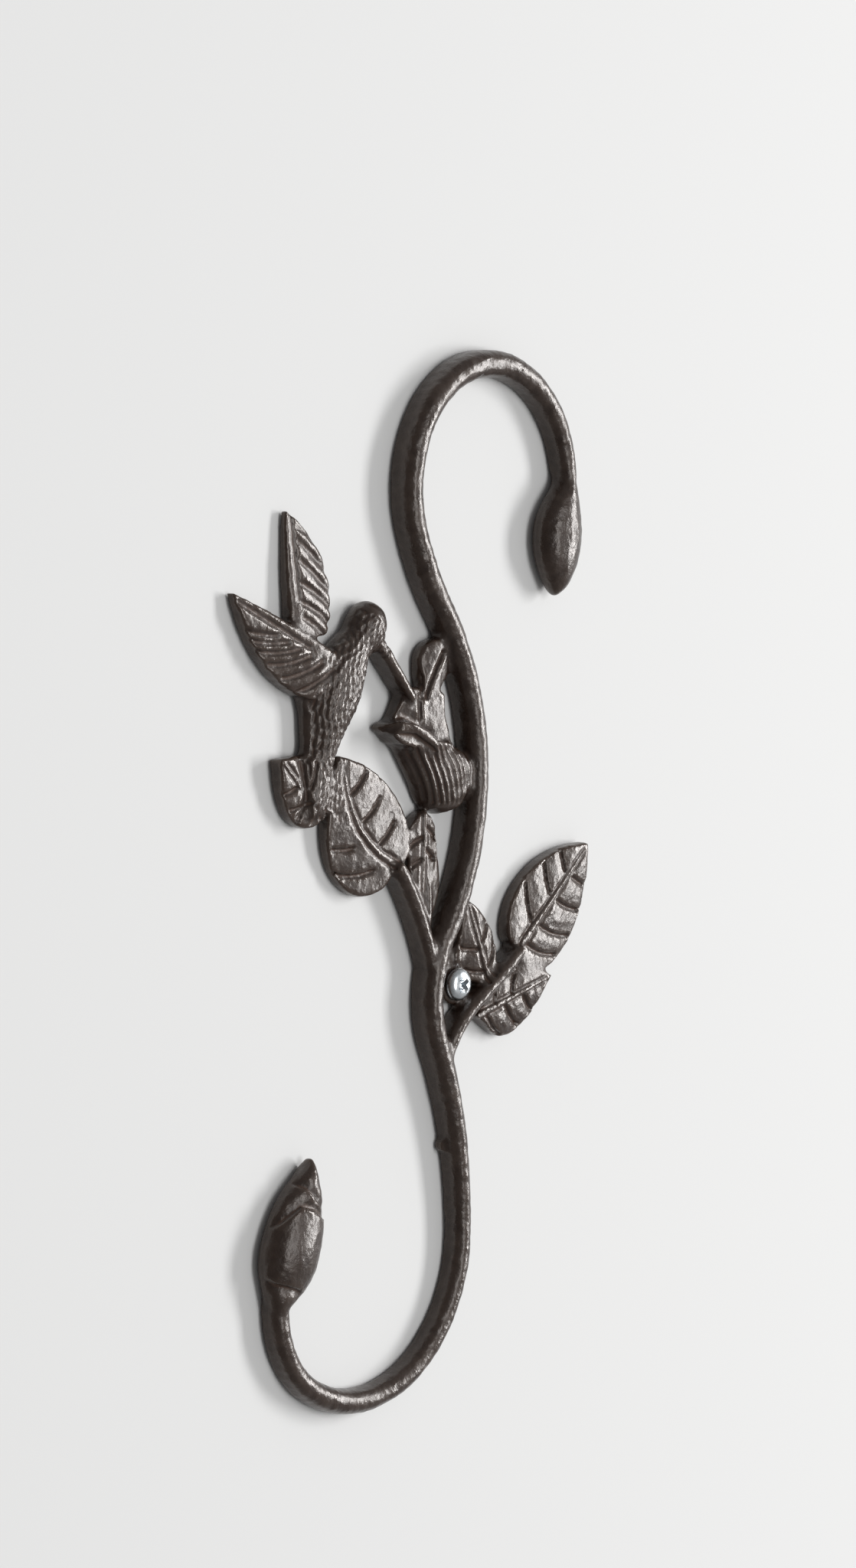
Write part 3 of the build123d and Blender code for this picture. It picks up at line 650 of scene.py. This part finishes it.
def carved(points):
    """How deep the ornament is cut at each vertex of the front."""
    plan = points[:, [0, 2]]
    depth = -points[:, 1]
    cut = np.zeros(len(points))
    for leaf in LEAVES:
        cut += leaf_cut(plan, depth, leaf)
    for wing in WINGS:
        cut = np.maximum(cut, wing_cut(plan, wing))
    cut = np.maximum(cut, plumage_cut(plan, depth))
    cut = np.maximum(cut, bell_cut(plan))
    for crease in PETAL_CREASES:
        cut = np.maximum(cut, groove(plan, crease, VEIN_WIDTH, VEIN_DEPTH))
    for path, left_slope, right_slope in LEDGES:
        cut = np.maximum(cut, ledge(plan, path, left_slope, right_slope, LEDGE_DEPTH))
    return cut


def work_surface(piece, edges):
    """Cut the ornament and the unevenness of a sand casting; keep the wear of high spots, which also sets a
    painted highlight on them, as an attribute.
    """
    mesh = piece.data
    points = read_points(mesh)
    normals = read_normals(mesh)
    front = np.clip(-FRONT_FADE * normals[:, 1], 0, 1)
    rough = np.clip(1 - BACK_FADE * normals[:, 1], 0, 1)
    wave = WAVE_HEIGHT * noise_at(points, WAVE_SIZE) + GRAIN_HEIGHT * noise_at(points, GRAIN_SIZE)
    points += normals * (wave * rough - carved(points) * front)[:, None]
    points[:, 1] = np.minimum(points[:, 1], 0.0)
    write_points(mesh, points)
    smooth = softened(points, edges, WEAR_AND_HIGHLIGHT_STEPS)
    ridge = np.einsum("ij,ij->i", points - smooth, read_normals(mesh)) / WEAR_AND_HIGHLIGHT_HEIGHT
    # High spots: worn, and lighter in colour as a painted highlight
    wear_and_highlight = mesh.attributes.new("wear_and_highlight", "FLOAT", "POINT")
    wear_and_highlight.data.foreach_set("value", np.clip(0.5 + 0.5 * ridge, 0, 1))
    shade_smooth(mesh)


def thin_out(piece):
    """Take away faces where the surface is flat, such as on the back."""
    thin = piece.modifiers.new("fewer faces", "DECIMATE")
    thin.ratio = KEPT_FACES
    apply_modifiers(piece)


def tree(material):
    material.use_nodes = True
    nodes = material.node_tree.nodes
    return nodes, material.node_tree.links, nodes["Principled BSDF"]


def noise_node(nodes, links, coordinates, scale, detail=4.0):
    node = nodes.new("ShaderNodeTexNoise")
    node.inputs["Scale"].default_value = scale
    node.inputs["Detail"].default_value = detail
    links.new(coordinates, node.inputs["Vector"])
    return node.outputs["Fac"]


def ramp_node(nodes, links, value, stops):
    node = nodes.new("ShaderNodeValToRGB")
    while len(node.color_ramp.elements) < len(stops):
        node.color_ramp.elements.new(0.5)
    for element, (place, colour) in zip(node.color_ramp.elements, stops):
        element.position = place
        element.color = (*colour, 1.0)
    links.new(value, node.inputs["Fac"])
    return node.outputs["Color"]


def spread_node(nodes, links, value, low, high, start=0.0):
    """A value from start to 1 spread between low and high."""
    node = nodes.new("ShaderNodeMapRange")
    node.inputs["From Min"].default_value = start
    node.inputs["To Min"].default_value = low
    node.inputs["To Max"].default_value = high
    links.new(value, node.inputs["Value"])
    return node.outputs["Result"]


def sum_node(nodes, links, value, factor, added):
    """A value times a factor, plus another value."""
    node = nodes.new("ShaderNodeMath")
    node.operation = "MULTIPLY_ADD"
    links.new(value, node.inputs[0])
    node.inputs[1].default_value = factor
    links.new(added, node.inputs[2])
    return node.outputs["Value"]


def iron_material():
    """Oil-rubbed iron: dark and glossy on its faces, matt brown in its grooves, grainy as cast."""
    material = bpy.data.materials.new("oil_rubbed_iron")
    nodes, links, shader = tree(material)
    place = nodes.new("ShaderNodeTexCoord").outputs["Object"]
    attribute = nodes.new("ShaderNodeAttribute")
    attribute.attribute_name = "wear_and_highlight"
    wear_and_highlight = attribute.outputs["Fac"]
    cloud = noise_node(nodes, links, place, IRON_CLOUD)
    # Colour from groove to crest; the lighter crests are partly wear and partly a painted highlight
    tone = sum_node(nodes, links, wear_and_highlight, WEAR_AND_HIGHLIGHT_TONE, spread_node(nodes, links, cloud, *CLOUD_TONES))
    links.new(ramp_node(nodes, links, tone, IRON_TONES), shader.inputs["Base Color"])
    grain = noise_node(nodes, links, place, IRON_GRAIN, GRAIN_DETAIL)
    matt = spread_node(nodes, links, wear_and_highlight, *WEAR_ROUGHNESS)
    matt = sum_node(nodes, links, cloud, CLOUD_ROUGHNESS, matt)
    links.new(sum_node(nodes, links, grain, GRAIN_ROUGHNESS, matt), shader.inputs["Roughness"])
    shader.inputs["Specular IOR Level"].default_value = IRON_SPECULAR
    shader.inputs["Specular Tint"].default_value = IRON_TINT
    shader.inputs["Coat Weight"].default_value = COAT_WEIGHT
    shader.inputs["Coat Roughness"].default_value = COAT_ROUGHNESS
    bump = nodes.new("ShaderNodeBump")
    bump.inputs["Strength"].default_value = BUMP_STRENGTH
    bump.inputs["Distance"].default_value = BUMP_DISTANCE
    links.new(grain, bump.inputs["Height"])
    links.new(bump.outputs["Normal"], shader.inputs["Normal"])
    links.new(bump.outputs["Normal"], shader.inputs["Coat Normal"])
    return material


def zinc_material():
    """Bright zinc plate, slightly clouded."""
    material = bpy.data.materials.new("zinc_plate")
    nodes, links, shader = tree(material)
    place = nodes.new("ShaderNodeTexCoord").outputs["Object"]
    cloud = noise_node(nodes, links, place, ZINC_CLOUD)
    links.new(ramp_node(nodes, links, cloud, ZINC_TONES), shader.inputs["Base Color"])
    links.new(spread_node(nodes, links, cloud, *ZINC_ROUGHNESS), shader.inputs["Roughness"])
    shader.inputs["Metallic"].default_value = 1.0
    return material


def wall_material():
    """Plain pale wall that shows from the front only, so that the back of the hook can be seen."""
    material = bpy.data.materials.new("pale_wall")
    nodes, links, shader = tree(material)
    shader.inputs["Base Color"].default_value = WALL_COLOUR
    shader.inputs["Roughness"].default_value = WALL_ROUGHNESS
    shader.inputs["Specular IOR Level"].default_value = WALL_SPECULAR
    clear = nodes.new("ShaderNodeBsdfTransparent")
    side = nodes.new("ShaderNodeNewGeometry").outputs["Backfacing"]
    mix = nodes.new("ShaderNodeMixShader")
    links.new(side, mix.inputs["Fac"])
    links.new(shader.outputs["BSDF"], mix.inputs[1])
    links.new(clear.outputs["BSDF"], mix.inputs[2])
    links.new(mix.outputs["Shader"], nodes["Material Output"].inputs["Surface"])
    return material


def screw_rings():
    """Rings of the screw from its tip to the top of its head: (y, radius, height of the thread)."""
    rings = [(SCREW_POINT, TIP_RADIUS, 0.0)]
    for step in range(1, SHANK_STEPS + 1):
        y = SCREW_POINT * (1 - step / SHANK_STEPS)
        taper = min(1.0, (SCREW_POINT - y) / POINT_LENGTH)
        rings.append((y, max(TIP_RADIUS, THREAD_ROOT * taper), (THREAD_RADIUS - THREAD_ROOT) * taper))
    rings.append((NECK_START, NECK_RADIUS, 0.0))
    rings.append((-HEAD_BASE, NECK_RADIUS, 0.0))
    rings.append((-HEAD_BASE, HEAD_RADIUS - HEAD_EDGE, 0.0))
    for angle in np.radians(np.linspace(*HEAD_ROLL, HEAD_STEPS + 1)):
        rise = HEAD_BASE + (HEAD_TOP - HEAD_BASE) * (HEAD_MIDDLE + (1 - HEAD_MIDDLE) * sin(angle))
        rings.append((-rise, HEAD_RADIUS * max(HEAD_TIP, cos(angle)) ** HEAD_SQUARENESS, 0.0))
    return rings


def screw_mesh():
    """The screw with its thread, its head still without a recess."""
    rows = []
    for y, radius, crest in screw_rings():
        row = []
        for index in range(SCREW_SIDES):
            turn = index / SCREW_SIDES
            share = (y / THREAD_PITCH - turn) % 1.0
            reach = radius + crest * max(0.0, 1 - THREAD_SHARPNESS * abs(share - 0.5))
            angle = 2 * pi * turn
            row.append((reach * cos(angle), y, reach * sin(angle)))
        rows.append(row)
    shape = bmesh.new()
    skin(shape, rows)
    return new_mesh("screw", shape)


def cross_mesh():
    """The cutter of the cross recess: two tapered blades, deepest in the middle."""
    corners = ((-1, -1), (1, -1), (1, 1), (-1, 1))
    shape = bmesh.new()
    for turn in (SCREW_TURN, SCREW_TURN + 90):
        along = Vector((cos(radians(turn)), 0, sin(radians(turn))))
        aside = Vector((-along.z, 0, along.x))
        rows = []
        for depth, (length, width) in ((CROSS_DEPTH, CROSS_FOOT), (-CROSS_SPARE, CROSS_MOUTH)):
            centre = Vector((0, -HEAD_TOP + depth, 0))
            ahead = along * (length * CROSS_LENGTH / 2)
            left = aside * (width * CROSS_WIDTH / 2)
            rows.append([centre + ahead * go + left * side for go, side in corners])
        skin(shape, rows)
    return new_mesh("cross", shape)


def screw_piece():
    piece = new_object("wall_screw", screw_mesh())
    cutter = new_object("cross_cutter", cross_mesh())
    cut = piece.modifiers.new("recess", "BOOLEAN")
    cut.object = cutter
    cut.use_self = True
    apply_modifiers(piece)
    bpy.data.objects.remove(cutter)
    shade_smooth(piece.data)
    piece.data.set_sharp_from_angle(angle=radians(SHARP_ANGLE))
    return piece


def stage():
    bpy.ops.mesh.primitive_plane_add(size=WALL_SIZE, location=(0, WALL_GAP, 0), rotation=(radians(90), 0, 0))
    wall = bpy.context.object
    wall.name = "wall"
    wall.data.materials.append(wall_material())


def soft_light(name, place, wide, tall, power):
    lamp = bpy.data.lights.new(name, "AREA")
    lamp.shape = "RECTANGLE"
    lamp.size = wide
    lamp.size_y = tall
    lamp.energy = power
    holder = new_object(name, lamp)
    holder.location = place
    holder.rotation_euler = (-Vector(place)).to_track_quat("-Z", "Y").to_euler()


def light():
    """The lamps, and a room that is brighter on its right."""
    for lamp in LAMPS:
        soft_light(*lamp)
    world = bpy.data.worlds.new("room")
    world.use_nodes = True
    nodes = world.node_tree.nodes
    links = world.node_tree.links
    background = nodes["Background"]
    background.inputs["Color"].default_value = WHITE
    direction = nodes.new("ShaderNodeSeparateXYZ")
    links.new(nodes.new("ShaderNodeTexCoord").outputs["Generated"], direction.inputs["Vector"])
    strength = spread_node(nodes, links, direction.outputs["X"], *ROOM_LIGHT, start=-1.0)
    links.new(strength, background.inputs["Strength"])
    bpy.context.scene.world = world


def camera():
    lens = bpy.data.cameras.new("camera")
    lens.lens = CAMERA_LENS
    lens.sensor_width = SENSOR_WIDTH
    holder = new_object("camera", lens)
    holder.location = CAMERA_PLACE
    holder.rotation_euler = CAMERA_LOOK.to_track_quat("-Z", "Y").to_euler()
    bpy.context.scene.camera = holder


casting, casting_edges = cast_mesh("hook_casting")
work_surface(casting, casting_edges)
thin_out(casting)
casting.data.materials.clear()
casting.data.materials.append(iron_material())
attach(casting, "root")
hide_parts("hook_casting")

screw = screw_piece()
screw.data.materials.clear()
screw.data.materials.append(zinc_material())
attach(screw, "root")
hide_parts("mounting_screw")

stage()
light()
camera()
bpy.context.scene.view_settings.view_transform = "Standard"
